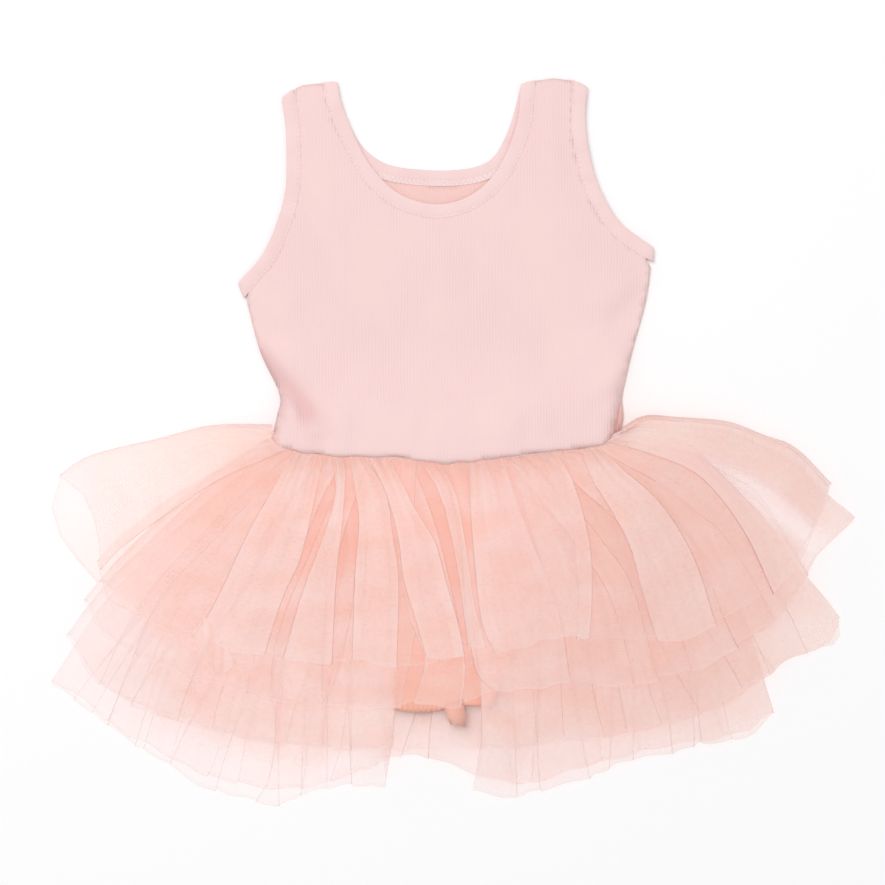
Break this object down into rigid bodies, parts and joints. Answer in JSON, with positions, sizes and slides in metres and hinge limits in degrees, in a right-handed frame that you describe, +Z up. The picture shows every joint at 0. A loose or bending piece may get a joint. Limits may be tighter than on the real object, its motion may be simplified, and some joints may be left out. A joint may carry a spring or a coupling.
{
  "type": "ballet tutu",
  "caption": "Sleeveless rib-knit child's leotard with bound neck and armholes and a gathered, layered tulle tutu skirt, laid out flat on its back.",
  "frame": {"origin": "on the floor under the middle of the garment's outline", "axes": "+X across the garment to the viewer's right as it lies face up, +Y from the hem to the neck, +Z up from the floor, out of its front"},
  "size_m": [0.495, 0.4495, 0.0273],
  "materials": {
    "rib_knit": "fine vertical rib knit, pale pink, matt",
    "binding": "self binding of the same knit, smooth, pale pink",
    "tulle": "soft fine net, peach pink, see-through in one layer",
    "brief_knit": "plain jersey, deeper peach, matt"
  },
  "bodies": {
    "root": {"bodice_front": "rib_knit", "bodice_back": "rib_knit", "neck_binding": "binding", "armhole_binding_left": "binding", "armhole_binding_right": "binding", "tier_1": "tulle", "tier_2": "tulle", "tier_3": "tulle", "tier_4": "tulle", "brief_front": "brief_knit", "brief_back": "brief_knit", "leg_binding_left": "brief_knit", "leg_binding_right": "brief_knit", "crotch_tab": "brief_knit"}
  },
  "joints": []
}
